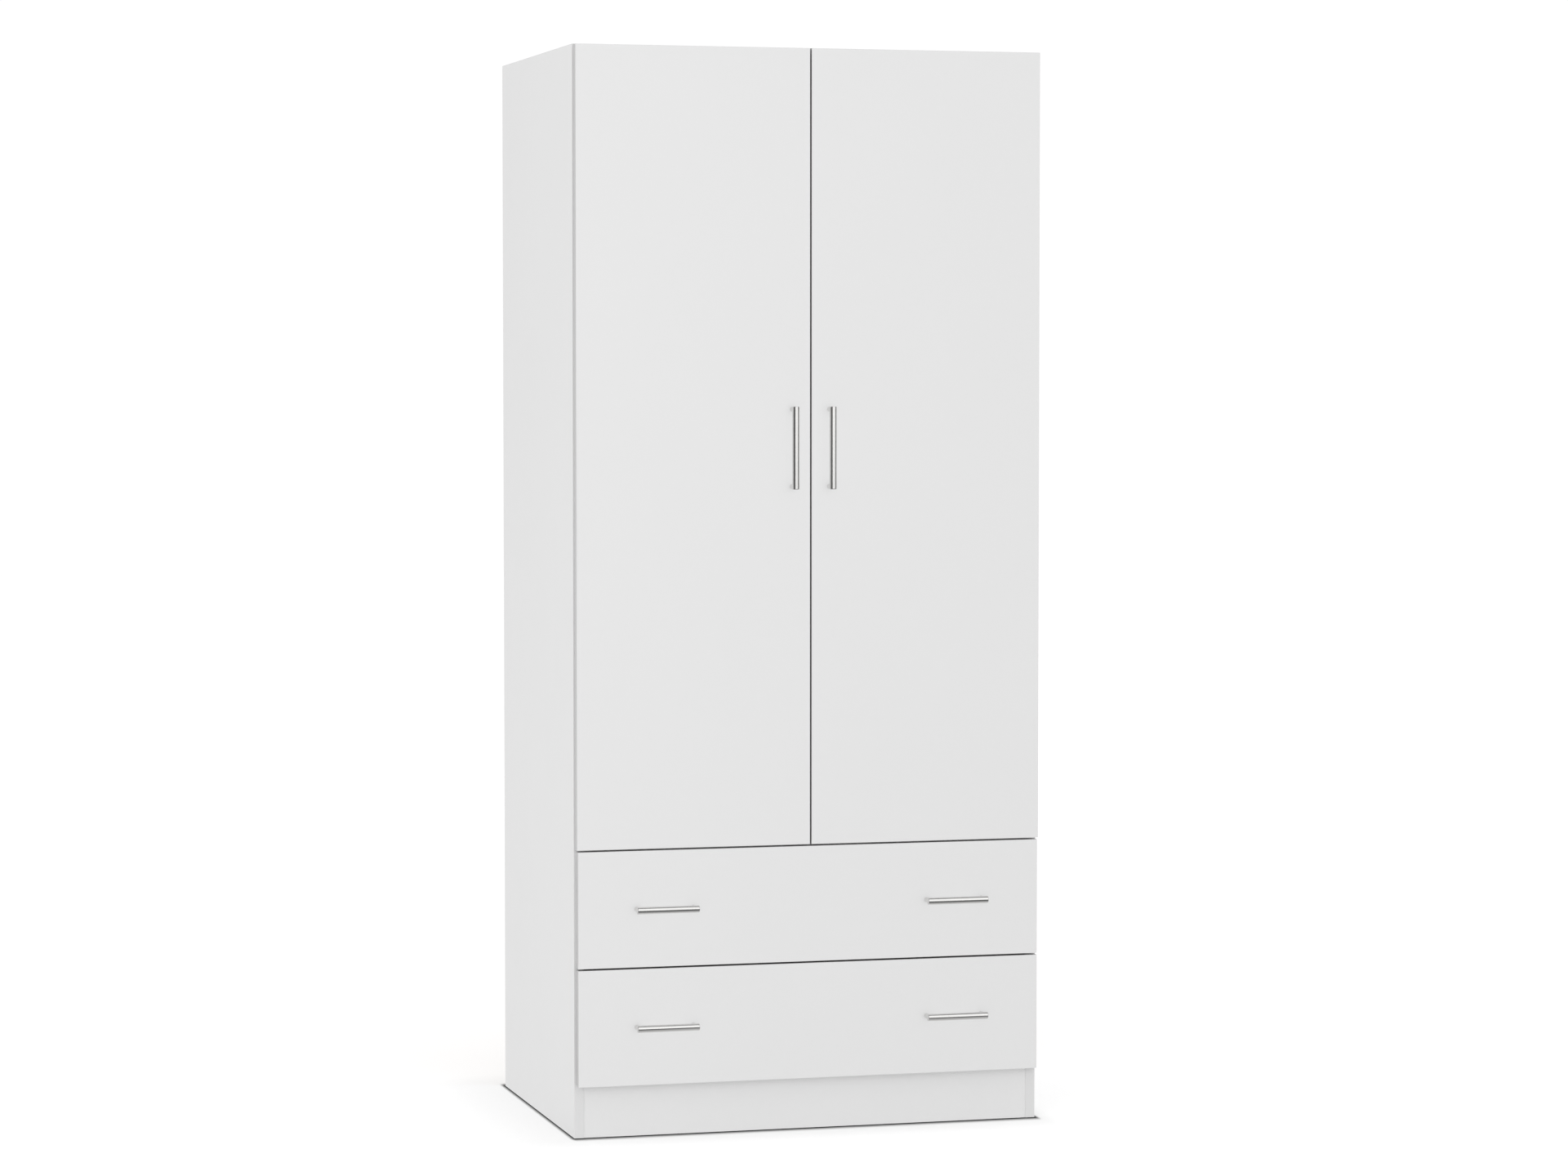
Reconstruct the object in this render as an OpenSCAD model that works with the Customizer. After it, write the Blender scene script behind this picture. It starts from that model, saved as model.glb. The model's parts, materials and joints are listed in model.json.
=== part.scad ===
// Free-standing wardrobe: two tall doors over two full-width drawers.
// X runs left to right, Y front to back, Z up. The origin is on the floor,
// at the middle of the closed wardrobe's width and depth.

/* [Carcase] */
// Width over the two side panels
overall_w = 800; // [700:10:1000]
// Height from the floor to the top panel's upper face
overall_h = 1800; // [1500:10:2200]
// Depth of the side panels, front edge to rear edge
carcase_d = 560; // [400:10:620]
// Thickness of the carcase boards
board_t = 16; // [15:0.5:19]
// Thickness of the two back boards
back_t = 3; // [2.5:0.5:4]
// How far the back boards stand in from the rear edges
back_inset = 10; // [8:1:25]
// Height of the plinth boards, under the base panel
plinth_h = 84; // [60:1:120]
// How far the front plinth stands back from the side panels' front edges
plinth_setback = 1; // [0:0.5:10]
// How far the rear plinth stands in from the side panels' rear edges
rear_plinth_inset = 40; // [20:5:80]

/* [Hanging space] */
// Clear height between the hat shelf and the top panel
hat_space = 254; // [200:2:350]
// How far the hat shelf stands back from the carcase front
shelf_setback = 20; // [5:1:60]
// Height of the oval hanging rail
rail_h = 30; // [25:1:35]
// Thickness of the oval hanging rail, front to back
rail_w = 15; // [12:1:18]
// Wall of the hanging rail
rail_wall = 1; // [0.8:0.1:1.5]
// Drop from the hat shelf's underside to the rail's middle
rail_drop = 55; // [45:1:90]

/* [Fronts] */
// Thickness of the doors and drawer fronts
front_t = 16; // [15:0.5:19]
// Gap between neighbouring doors and drawer fronts
front_gap = 3; // [2:0.5:5]
// Gap between the fronts and the carcase's front edges
front_standoff = 3; // [2.8:0.1:4]
// How far a door's outer edge stands in from the side panel's outer face
door_reveal = 1.5; // [0.5:0.5:3]
// How far a drawer front's ends stand in from the side panels' outer faces
drawer_reveal = 3; // [1:0.5:5]
// How far the doors stop below the top panel's upper face
top_reveal = 1; // [0:0.5:4]
// Height of one drawer front
drawer_front_h = 193; // [170:1:240]

/* [Drawer boxes] */
// Thickness of the drawer sides and back
drawer_board_t = 12; // [12:0.5:15]
// Thickness of the drawer bottoms
drawer_bottom_t = 3; // [2.5:0.5:4]
// Height of the drawer sides
drawer_side_h = 140; // [120:1:150]
// Height of the drawer sides' lower edge above the drawer front's lower edge
drawer_rise = 25; // [20:1:30]
// Gap between a drawer side and the side panel
drawer_side_gap = 2; // [1:0.5:4]
// Gap between the drawer box and the back board
drawer_rear_gap = 40; // [20:5:80]
// Height of a runner strip
runner_h = 16.4; // [14:0.2:18]
// How far a runner strip reaches into the drawer side's groove
runner_bite = 6; // [5:0.5:6.5]
// How far a runner starts behind the carcase front
runner_front = 12; // [8:1:25]
// Distance from a runner's rear end to the back board
runner_rear = 75; // [60:5:140]

/* [Handles] */
// Distance between the screw holes of a door handle
door_handle_centres = 128; // [96:32:160]
// Distance between the screw holes of a drawer handle
drawer_handle_centres = 96; // [64:32:160]
// Diameter of a handle's bar
handle_bar_d = 12; // [10:0.5:14]
// Diameter of a handle's legs
handle_leg_d = 8.8; // [8:0.2:10]
// How far a handle stands out from the front
handle_reach = 28; // [24:1:40]
// How far a handle's bar runs past its screw holes
handle_end = 4.5; // [4.5:0.5:20]
// Distance from the wardrobe's centre line to a door handle
door_handle_x = 32; // [22:1:60]
// Distance from the wardrobe's centre line to a drawer handle
drawer_handle_x = 250; // [120:5:260]

/* [Hinges] */
// Diameter of the hinge cup
cup_d = 35; // [26:1:35]
// Depth of the hinge cup in the door
cup_depth = 12.5; // [12:0.1:13]
// Wood left between the cup and the door's outer edge
cup_edge = 4; // [3:0.5:5]
// Distance from the door's outer edge to the hinge pin
pin_in = 7.2; // [7:0.1:7.4]
// Distance from the door's rear face to the hinge pin
pin_deep = 9.6; // [9.4:0.1:9.8]
// Distance from a door's end to its first and last hinge
hinge_end = 100; // [80:5:160]
// Number of hinges on a door
hinge_count = 3; // [2:1:4]
// Distance from the carcase front to the mounting plates' screws
plate_back = 37; // [37:1:40]

/* [Hidden] */
$fn = 48;
eps = 0.05;

// clearances
fit_gap = 0.05;       // round fixings in their holes, all round
board_gap = 0.2;      // thin boards in their grooves, each face
edge_gap = 0.5;       // thin boards short of their grooves' floors
runner_gap = 0.3;     // runners in the drawer sides' grooves, above and below
runner_floor_gap = 1; // runners short of the grooves' floors
bumper_gap = 0.4;     // bumpers short of the closed doors
pin_gap = 0.05;       // hinge pins in the arms' eyes, all round
socket_gap = 0.2;     // hanging rail in its sockets, all round
back_groove = 6;      // depth of the grooves that hold thin boards

// fixings
cam_r = 7.5;
cam_past = 4;         // how far a cam reaches past its bolt's line
cam_h = board_t / 2 + cam_past;
cam_set = 24;         // from a board's end to its cam's axis
small_cam_r = 6;
small_cam_past = 3;
small_cam_h = drawer_board_t / 2 + small_cam_past;
bolt_thread_r = 2.5;
bolt_thread_l = 10;
bolt_shank_r = 3;
bolt_neck_r = 1.8;
bolt_head_r = 2.6;
bolt_tunnel_r = 3.6;
bolt_shank_l = 19;    // from the board's end to the neck that the cam grips
bolt_neck_l = 4;
bolt_head_l = 2.5;
dowel_r = 4;
dowel_l = 30;
dowel_in_side = 11;
screw_r = 1.75;
screw_l = 14;
screw_head_r = 3.5;
screw_head_h = 2;
head_taper = 0.72;    // top of a pan head against its rim
recess_size = 1.1;    // cross recess against the head's radius
cup_screw_l = 12;
cup_screw_head_h = 1.4;
long_screw_r = 2;
long_screw_l = 34;
long_head_r = 3.8;
handle_screw_r = 2;
handle_screw_hole_r = 2.5;
handle_screw_head_r = 4;
handle_screw_head_h = 2.4;
handle_screw_bite = 9;   // length of a handle's screw inside its leg
nail_r = 0.8;
nail_l = 20;
nail_head_r = 2;
nail_head_h = 0.6;
pin_hole_r = 2.5;        // shelf pins and their row of holes
pin_hole_deep = 10;
pin_pitch = 32;
pin_tab = [9, 10, 1.5];  // shelf pin's tab, under the shelf

// hinge pieces
cup_wall = 0.6;
cup_floor = 0.6;
cup_flange_t = 1;
cup_flange_r = cup_d / 2 + 1.5;
cup_screw_z = 24;
cup_screw_x = 9.5;
cup_wing_r = 6;
knuckle_r = 1.8;
hinge_pin_r = 1;
hinge_pin_half = 7.6;
nose_half = 4.5;         // half the height of the arm's nose
lug_gap = 0.2;           // nose to the cup's lugs
lug_wall = 1.5;          // metal beside and behind the pin in a lug
strap_t = 2;
strap_low = 1.3;         // how deep the nose runs below the pin's axis
arm_half = 6.3;          // half the height of the arm's channel
arm_flange_t = 1.2;
arm_side_gap = 0.1;
plate_t = 2.2;
plate_wing_r = 8;
plate_wing_z = 16;       // half of the 32 mm between the plate's screws
plate_rail_front = 14;
plate_rail_back = 20;
arm_tail = 24;
arm_screw_r = 2.2;
arm_screw_l = 6;
arm_screw_head_r = 3.4;
arm_screw_y = [-9, 9];

// planes, front to back
front_to_back = carcase_d + front_standoff + front_t + handle_reach;
y_back = front_to_back / 2;
y_case = y_back - carcase_d;
y_fronts_rear = y_case - front_standoff;
y_fronts = y_fronts_rear - front_t;
y_board_rear = y_back - back_inset;
y_board = y_board_rear - back_t;

// planes, left to right
half_w = overall_w / 2;
inner = half_w - board_t;

// heights
z_base = plinth_h + board_t;
z_top = overall_h - board_t;
z_lower_drawer = plinth_h + front_gap;
z_upper_drawer = z_lower_drawer + drawer_front_h + front_gap;
z_doors = z_upper_drawer + drawer_front_h + front_gap;
z_doors_top = overall_h - top_reveal;
door_h = z_doors_top - z_doors;
door_w = half_w - door_reveal - front_gap / 2;
z_divider = z_doors - front_gap / 2 - board_t / 2;
z_hat_shelf = z_top - hat_space - board_t;
z_rail = z_hat_shelf - rail_drop;
y_rail = (y_case + y_board) / 2;
z_back_joint = (plinth_h + z_top) / 2;

// drawer boxes
box_half = inner - drawer_side_gap;
box_inner = box_half - drawer_board_t;
box_d = y_board - drawer_rear_gap - y_fronts_rear;
runner_t = drawer_side_gap + runner_bite;
runner_groove = runner_bite + runner_floor_gap;
runner_l = y_board - runner_rear - y_case - runner_front;
runner_screws = [30, runner_l / 2, runner_l - 30];
runner_recess = 3;
bottom_rise = 10;        // drawer bottom above the drawer sides' lower edge
box_groove = 5;          // depth of the grooves round the drawer bottom
box_cam_z = [24, drawer_side_h - 24];
box_screw_z = [34, drawer_side_h - 28];

// hinge frame: local X from the pin into the door, local Y backwards
pin_x = -half_w + door_reveal + pin_in;
pin_y = y_fronts_rear - pin_deep;
cup_x = cup_edge + cup_d / 2 - pin_in;
side_x = board_t - door_reveal - pin_in;
case_y = pin_deep + front_standoff;
plate_y = case_y + plate_back;
bend_r = 4.5;
strap_end = max(11.5, side_x + plate_t + 4.5 - bend_r + strap_t);
arm_x = strap_end + bend_r - strap_t;
function hinge_z(i) = z_doors + hinge_end + i * (door_h - 2 * hinge_end) / (hinge_count - 1);
hinge_zs = [for (i = [0:hinge_count - 1]) hinge_z(i)];

// where the boards meet the side panels: [y, z, way the cam faces]
cam_front = 45;
cam_rear = 60;
dowel_step = 32;
plinth_cam_z = plinth_h / 2 + 12;
plinth_dowel_z = plinth_h / 2 - 18;
plinth_ys = [y_case + plinth_setback, y_back - rear_plinth_inset - board_t];
flat_boards = [plinth_h, z_divider, z_top];
cam_joints = concat(
    [for (z = flat_boards, y = [y_case + cam_front, y_board - cam_rear])
        [y, z + board_t / 2, [0, 0, -1]]],
    [[plinth_ys[0] + board_t / 2, plinth_cam_z, [0, 1, 0]],
     [plinth_ys[1] + board_t / 2, plinth_cam_z, [0, -1, 0]]]);
dowel_joints = concat(
    [for (z = flat_boards, y = [y_case + cam_front + dowel_step, y_board - cam_rear - dowel_step])
        [y, z + board_t / 2]],
    [for (y = plinth_ys) [y + board_t / 2, plinth_dowel_z]]);

// shelf pins stand in two upright rows of holes
pin_rows = [y_case + plate_back, y_board - plate_back];
z_pins = z_hat_shelf - pin_tab.z - pin_hole_r;
pin_steps = [-2:2];

// hanging rail sockets
socket_t = 3;
socket_rim = 2;
socket_deep = 12;
socket_screw_z = rail_h / 2 + socket_rim + 6;

// wall bracket under the top panel
bracket_w = 30;
bracket_leg = 40;
bracket_t = 2;
wall_hole_r = 3;
wall_hole_drop = 26;
bracket_screw_y = [12, 28];

// back board joint strip
strip_web = 2;
strip_flange = 9;
strip_t = 1.2;

// door bumpers
bumper_r = 3;
bumper_x = 60;
bumper_zs = [z_doors + bumper_r + 0.2, z_top + board_t / 2];

// nails through the back boards
nail_count = 5;
nail_edge = 60;
nail_xs = [for (i = [0:nail_count - 1]) (inner - nail_edge) * (2 * i / (nail_count - 1) - 1)];
nail_zs = [plinth_h + board_t / 2, z_divider + board_t / 2];

left = [-1, 0, 0];
right = [1, 0, 0];
forward = [0, -1, 0];
back = [0, 1, 0];
up = [0, 0, 1];

// ---- shapes that repeat ----

function turn(d) = d.x != 0 ? [0, 90 * d.x, 0]
                 : d.y != 0 ? [-90 * d.y, 0, 0]
                 : d.z < 0 ? [180, 0, 0] : [0, 0, 0];

// upright block from its lowest to its highest corner
module block(lo, hi) {
    translate(lo) cube(hi - lo);
}

// round rod or cone from point p, along direction d
module rod(p, d, l, r, r_end = undef) {
    translate(p) rotate(turn(d)) cylinder(h = l, r1 = r, r2 = is_undef(r_end) ? r : r_end);
}

module both_sides() {
    children();
    mirror([1, 0, 0]) children();
}

// flat shape with round ends, along Y of the plane
module slot_2d(half_l, r) {
    square([2 * r, 2 * (half_l - r)], center = true);
    for (s = [-1, 1]) translate([0, s * (half_l - r)]) circle(r);
}

// cross recess in the top of a screw head, at height h along the screw
module cross_recess(h, size) {
    for (a = [45, 135])
        translate([0, 0, h]) rotate(a) cube([size, size / 4, size / 3], center = true);
}

// pan-head screw: the head stands on the seat at p and the shank runs along d
module pan_screw(p, d, l, r, head_r, head_h) {
    translate(p) rotate(turn(d)) difference() {
        union() {
            cylinder(h = l - r, r = r);
            translate([0, 0, l - r]) cylinder(h = r, r1 = r, r2 = r / 4);
            translate([0, 0, -head_h / 2]) cylinder(h = head_h / 2, r = head_r);
            translate([0, 0, -head_h]) cylinder(h = head_h / 2, r1 = head_r * head_taper, r2 = head_r);
        }
        cross_recess(-head_h, head_r * recess_size);
    }
}

// countersunk screw with its head flush with the face at p
module flush_screw(p, d, l, r, head_r) {
    translate(p) rotate(turn(d)) difference() {
        union() {
            cylinder(h = head_r - r, r1 = head_r, r2 = r);
            cylinder(h = l - r, r = r);
            translate([0, 0, l - r]) cylinder(h = r, r1 = r, r2 = r / 4);
        }
        cross_recess(0, head_r * recess_size);
    }
}

// hole for a countersunk screw
module flush_hole(p, d, l, r, head_r) {
    rod(p - eps * d, d, l + eps, r + fit_gap);
    rod(p - eps * d, d, head_r - r + eps, head_r + fit_gap + eps, r + fit_gap);
}

// cam bolt: threaded into the board at p, its head reaching the cam's axis along d
module cam_bolt(p, d) {
    rod(p - bolt_thread_l * d, d, bolt_thread_l, bolt_thread_r);
    rod(p, d, bolt_shank_l, bolt_shank_r);
    rod(p + bolt_shank_l * d, d, bolt_neck_l, bolt_neck_r);
    rod(p + (bolt_shank_l + bolt_neck_l) * d, d, bolt_head_l, bolt_head_r);
}

// the holes that a cam bolt needs: thread in one board, tunnel in the other
module cam_bolt_hole(p, d) {
    rod(p + eps * d, -d, bolt_thread_l + edge_gap + eps, bolt_thread_r + fit_gap);
}

module cam_tunnel(p, d) {
    rod(p - eps * d, d, cam_set + eps, bolt_tunnel_r);
}

// cam: a disc that faces f, with a slot that takes the bolt coming along d
module cam_disc(p, d, f, r, h) {
    face = cam_face(r);
    centre = p + cam_set * d;
    difference() {
        rod(centre + (face - h) * f, f, h - edge_gap, r);
        rod(p + (cam_set - r - eps) * d, d, r + 2, bolt_tunnel_r);
        translate(centre + (face - edge_gap) * f) rotate(turn(f)) cross_recess(0, r);
    }
}

module cam_pocket(p, d, f, r, h) {
    rod(p + cam_set * d + (cam_face(r) - h) * f, f, h + eps, r + fit_gap);
}

// from the bolt's line to the face that a cam of radius r is let into
function cam_face(r) = (r < cam_r ? drawer_board_t : board_t) / 2;

// bar handle, bar along X, standing forward of the face at y = 0
module bar_handle(centres) {
    bar_r = handle_bar_d / 2;
    half = centres / 2 + handle_end;
    edge = 0.8;
    difference() {
        union() {
            rod([-half + edge, bar_r - handle_reach, 0], right, 2 * (half - edge), bar_r);
            for (s = [-1, 1]) {
                rod([s * (half - edge), bar_r - handle_reach, 0], [s, 0, 0], edge, bar_r, bar_r - edge);
                rod([s * centres / 2, 0, 0], forward, handle_reach - bar_r, handle_leg_d / 2);
            }
        }
        for (s = [-1, 1])
            rod([s * centres / 2, eps, 0], forward, handle_screw_bite + edge_gap + eps,
                handle_screw_r + fit_gap);
    }
}

// machine screw through a front into a handle's leg
module handle_screw(p) {
    translate(p) rotate(turn(forward)) difference() {
        union() {
            cylinder(h = front_t + handle_screw_bite, r = handle_screw_r);
            translate([0, 0, -handle_screw_head_h / 2])
                cylinder(h = handle_screw_head_h / 2, r = handle_screw_head_r);
            translate([0, 0, -handle_screw_head_h])
                cylinder(h = handle_screw_head_h / 2, r1 = handle_screw_head_r * head_taper,
                         r2 = handle_screw_head_r);
        }
        cross_recess(-handle_screw_head_h, handle_screw_head_r * recess_size);
    }
}

module handle_screw_hole(x, z) {
    rod([x, y_fronts_rear + eps, z], forward, front_t + 2 * eps, handle_screw_hole_r);
}

// ---- carcase ----

// everything drilled or grooved into the inner face of the left side panel
module side_panel_cuts() {
    face = -inner;
    block([face - back_groove, y_board - board_gap, -eps],
          [face + eps, y_board_rear + board_gap, z_top + back_groove]);
    for (j = cam_joints) cam_bolt_hole([face, j[0], j[1]], right);
    for (j = dowel_joints)
        rod([face + eps, j[0], j[1]], left, dowel_in_side + edge_gap + eps, dowel_r + fit_gap);
    for (p = side_screw_seats())
        rod([face + eps, p.y, p.z], left, screw_l - p.x + edge_gap + eps, screw_r + fit_gap);
    for (y = pin_rows, i = pin_steps)
        rod([face + eps, y, z_pins + i * pin_pitch], left, pin_hole_deep + eps, pin_hole_r + fit_gap);
}

// screws in a side panel's inner face: [height of the head's seat above the face, y, z]
function side_screw_seats() = concat(
    [for (z = hinge_zs, s = [-1, 1])
        [plate_t, pin_y + plate_y, z + s * plate_wing_z]],
    [for (z0 = [z_lower_drawer, z_upper_drawer], l = runner_screws)
        [runner_t - runner_recess, y_case + runner_front + l, runner_z(z0)]],
    [for (s = [-1, 1])
        [socket_t, y_rail, z_rail + s * socket_screw_z]]);

function runner_z(z0) = z0 + drawer_rise + drawer_side_h / 2;

module side_panel() {
    color("white") difference() {
        block([-half_w, y_case, 0], [-inner, y_back, overall_h]);
        side_panel_cuts();
    }
}

module left_side_panel() {
    side_panel();
}

module right_side_panel() {
    mirror([1, 0, 0]) side_panel();
}

// tunnels, cam pockets and dowel holes in both ends of the board at height z
module board_end_cuts(z_list) {
    both_sides() {
        for (j = cam_joints) if (in_list(j[1], z_list)) {
            cam_tunnel([-inner, j[0], j[1]], right);
            cam_pocket([-inner, j[0], j[1]], right, j[2], cam_r, cam_h);
        }
        for (j = dowel_joints) if (in_list(j[1], z_list))
            rod([-inner - eps, j[0], j[1]], right, dowel_l - dowel_in_side + edge_gap + eps,
                dowel_r + fit_gap);
    }
}

function in_list(v, list) = len([for (x = list) if (abs(x - v) < 0.01) x]) > 0;

module top_panel() {
    color("white") difference() {
        block([-inner, y_case, z_top], [inner, y_back, overall_h]);
        board_end_cuts([z_top + board_t / 2]);
        block([-inner - eps, y_board - board_gap, z_top - eps],
              [inner + eps, y_board_rear + board_gap, z_top + back_groove]);
        for (y = bracket_screw_y)
            rod([0, y_board - y, z_top - eps], up, screw_l - bracket_t + edge_gap + eps,
                screw_r + fit_gap);
    }
}

// nail holes in a board's rear edge
module rear_edge_nail_holes(z) {
    for (x = nail_xs)
        rod([x, y_board + eps, z], forward, nail_l - back_t + edge_gap + eps, nail_r + fit_gap);
}

module base_panel() {
    color("white") difference() {
        block([-inner, y_case, plinth_h], [inner, y_board, z_base]);
        board_end_cuts([plinth_h + board_t / 2]);
        rear_edge_nail_holes(nail_zs[0]);
    }
}

module divider_shelf() {
    color("white") difference() {
        block([-inner, y_case, z_divider], [inner, y_board, z_divider + board_t]);
        board_end_cuts([z_divider + board_t / 2]);
        rear_edge_nail_holes(nail_zs[1]);
    }
}

module hat_shelf() {
    color("white")
        block([-inner + edge_gap, y_case + shelf_setback, z_hat_shelf],
              [inner - edge_gap, y_board - edge_gap, z_hat_shelf + board_t]);
}

// an upright board under the base panel, with its front face at y
module plinth_board(y) {
    cam_way = y < 0 ? back : forward;
    cam_point = [-inner, y + board_t / 2, plinth_cam_z];
    color("white") difference() {
        block([-inner, y, 0], [inner, y + board_t, plinth_h]);
        both_sides() {
            cam_tunnel(cam_point, right);
            cam_pocket(cam_point, right, cam_way, cam_r, cam_h);
            rod([-inner - eps, y + board_t / 2, plinth_dowel_z], right,
                dowel_l - dowel_in_side + edge_gap + eps, dowel_r + fit_gap);
        }
    }
}

module plinth_front() {
    plinth_board(plinth_ys[0]);
}

module plinth_back() {
    plinth_board(plinth_ys[1]);
}

// one back board, from height z0 to z1, in the side panels' grooves
module back_board(z0, z1) {
    side = inner + back_groove - edge_gap;
    color("white") block([-side, y_board, z0], [side, y_board_rear, z1]);
}

module back_board_lower() {
    difference() {
        back_board(plinth_h, z_back_joint - strip_web / 2 - edge_gap);
        color("white") for (x = nail_xs, z = nail_zs)
            rod([x, y_board - eps, z], back, back_t + 2 * eps, nail_r + fit_gap);
    }
}

module back_board_upper() {
    difference() {
        back_board(z_back_joint + strip_web / 2 + edge_gap, z_top + back_groove - edge_gap);
        color("white")
            rod([0, y_board - eps, z_top - wall_hole_drop], back, back_t + 2 * eps, wall_hole_r);
    }
}

// H-shaped strip that joins the two back boards
module back_joint_strip() {
    l = 2 * (inner - edge_gap);
    gap = 0.1;
    color("white") translate([0, y_board + back_t / 2, z_back_joint]) rotate([90, 0, 90])
        linear_extrude(height = l, center = true) {
            square([back_t + 2 * gap + eps, strip_web], center = true);
            for (s = [-1, 1])
                translate([s * (back_t / 2 + gap + strip_t / 2), 0])
                    square([strip_t, 2 * strip_flange], center = true);
        }
}

module hanging_rail() {
    color("silver") translate([0, y_rail, z_rail]) rotate([90, 0, 90])
        linear_extrude(height = 2 * (inner - socket_t), center = true) difference() {
            slot_2d(rail_h / 2, rail_w / 2);
            slot_2d(rail_h / 2 - rail_wall, rail_w / 2 - rail_wall);
        }
}

// socket on the left side panel that holds one end of the hanging rail
module rail_socket() {
    translate([-inner, y_rail, z_rail]) rotate([90, 0, 90]) difference() {
        union() {
            linear_extrude(height = socket_t)
                slot_2d(socket_screw_z + 6, rail_w / 2 + socket_rim);
            linear_extrude(height = socket_t + socket_deep)
                slot_2d(rail_h / 2 + socket_gap + socket_rim, rail_w / 2 + socket_gap + socket_rim);
        }
        translate([0, 0, socket_t]) linear_extrude(height = socket_deep + eps)
            slot_2d(rail_h / 2 + socket_gap, rail_w / 2 + socket_gap);
        for (s = [-1, 1]) translate([0, s * socket_screw_z, -eps])
            cylinder(h = socket_t + 2 * eps, r = screw_r + fit_gap);
    }
}

module rail_sockets() {
    color("silver") both_sides() rail_socket();
}

module cam_bolts() {
    color("silver") both_sides()
        for (j = cam_joints) cam_bolt([-inner, j[0], j[1]], right);
}

module cam_discs() {
    color("silver") both_sides()
        for (j = cam_joints) cam_disc([-inner, j[0], j[1]], right, j[2], cam_r, cam_h);
}

module dowels() {
    edge = 1;
    color("burlywood") both_sides() for (j = dowel_joints) {
        p = [-inner - dowel_in_side, j[0], j[1]];
        rod(p, right, edge, dowel_r - edge, dowel_r);
        rod(p + edge * right, right, dowel_l - 2 * edge, dowel_r);
        rod(p + (dowel_l - edge) * right, right, edge, dowel_r, dowel_r - edge);
    }
}

// pins in the rows of holes, each with a flat tab under the hat shelf
module shelf_pins() {
    color("silver") both_sides() for (y = pin_rows) {
        rod([-inner - pin_hole_deep + edge_gap, y, z_pins], right,
            pin_hole_deep - edge_gap + pin_tab.x, pin_hole_r);
        block([-inner, y - pin_tab.y / 2, z_pins + pin_hole_r],
              [-inner + pin_tab.x, y + pin_tab.y / 2, z_hat_shelf]);
        block([-inner, y - pin_hole_r / 2, z_pins],
              [-inner + pin_tab.x, y + pin_hole_r / 2, z_pins + pin_hole_r + eps]);
    }
}

// runner strip on the left side panel, for the drawer whose front starts at z0
module runner(z0) {
    r = runner_h / 2;
    color("whitesmoke")
        translate([-inner, y_case + runner_front, runner_z(z0)]) difference() {
            union() {
                block([0, r, -r], [runner_t, runner_l - r, r]);
                for (y = [r, runner_l - r]) rod([0, y, 0], right, runner_t, r);
            }
            for (y = runner_screws) {
                rod([-eps, y, 0], right, runner_t + 2 * eps, screw_r + fit_gap);
                rod([runner_t - runner_recess, y, 0], right, runner_recess + eps, screw_head_r + 0.5);
            }
        }
}

module upper_left_runner() {
    runner(z_upper_drawer);
}

module upper_right_runner() {
    mirror([1, 0, 0]) runner(z_upper_drawer);
}

module lower_left_runner() {
    runner(z_lower_drawer);
}

module lower_right_runner() {
    mirror([1, 0, 0]) runner(z_lower_drawer);
}

// the chipboard screws that hold hinge plates, runners, sockets and the wall bracket
module carcase_screws() {
    color("silver") {
        both_sides() for (p = side_screw_seats())
            pan_screw([-inner + p.x, p.y, p.z], left, screw_l, screw_r, screw_head_r, screw_head_h);
        for (y = bracket_screw_y)
            pan_screw([0, y_board - y, z_top - bracket_t], up, screw_l, screw_r, screw_head_r,
                      screw_head_h);
    }
}

module back_nails() {
    color("silver") for (x = nail_xs, z = nail_zs) {
        rod([x, y_board_rear, z], forward, nail_l, nail_r);
        rod([x, y_board_rear, z], back, nail_head_h, nail_head_r);
    }
}

// angle bracket under the top panel, with a hole for a screw into the wall
module wall_bracket() {
    color("silver") difference() {
        union() {
            block([-bracket_w / 2, y_board - bracket_leg, z_top - bracket_t],
                  [bracket_w / 2, y_board, z_top]);
            block([-bracket_w / 2, y_board - bracket_t, z_top - bracket_leg],
                  [bracket_w / 2, y_board, z_top]);
        }
        rod([0, y_board + eps, z_top - wall_hole_drop], forward, bracket_t + 2 * eps, wall_hole_r);
        for (y = bracket_screw_y)
            rod([0, y_board - y, z_top - bracket_t - eps], up, bracket_t + 2 * eps,
                screw_r + fit_gap);
    }
}

// soft buffers on the carcase's front edges, behind the doors' free corners
module door_bumpers() {
    color("gainsboro") for (x = [-bumper_x, bumper_x], z = bumper_zs)
        rod([x, y_case, z], forward, front_standoff - bumper_gap, bumper_r, bumper_r * 0.8);
}

// ---- hinges, drawn about the left door's pin ----

module at_left_hinges() {
    for (z = hinge_zs) translate([pin_x, pin_y, z]) children();
}

module hinge_plate() {
    difference() {
        union() {
            translate([side_x, plate_y, 0]) rotate([90, 0, 90]) linear_extrude(height = plate_t)
                slot_2d(plate_wing_z + plate_wing_r, plate_wing_r);
            block([side_x, plate_y - plate_rail_front, -arm_half + arm_flange_t + arm_side_gap],
                  [arm_x, plate_y + plate_rail_back, arm_half - arm_flange_t - arm_side_gap]);
        }
        for (s = [-1, 1])
            rod([side_x - eps, plate_y, s * plate_wing_z], right, plate_t + 2 * eps,
                screw_r + fit_gap);
        for (y = arm_screw_y)
            rod([arm_x + eps, plate_y + y, 0], left, arm_screw_l - strap_t + edge_gap + eps,
                arm_screw_r + fit_gap);
    }
}

module left_hinge_plates() {
    color("silver") at_left_hinges() hinge_plate();
}

module right_hinge_plates() {
    mirror([1, 0, 0]) left_hinge_plates();
}

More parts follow.
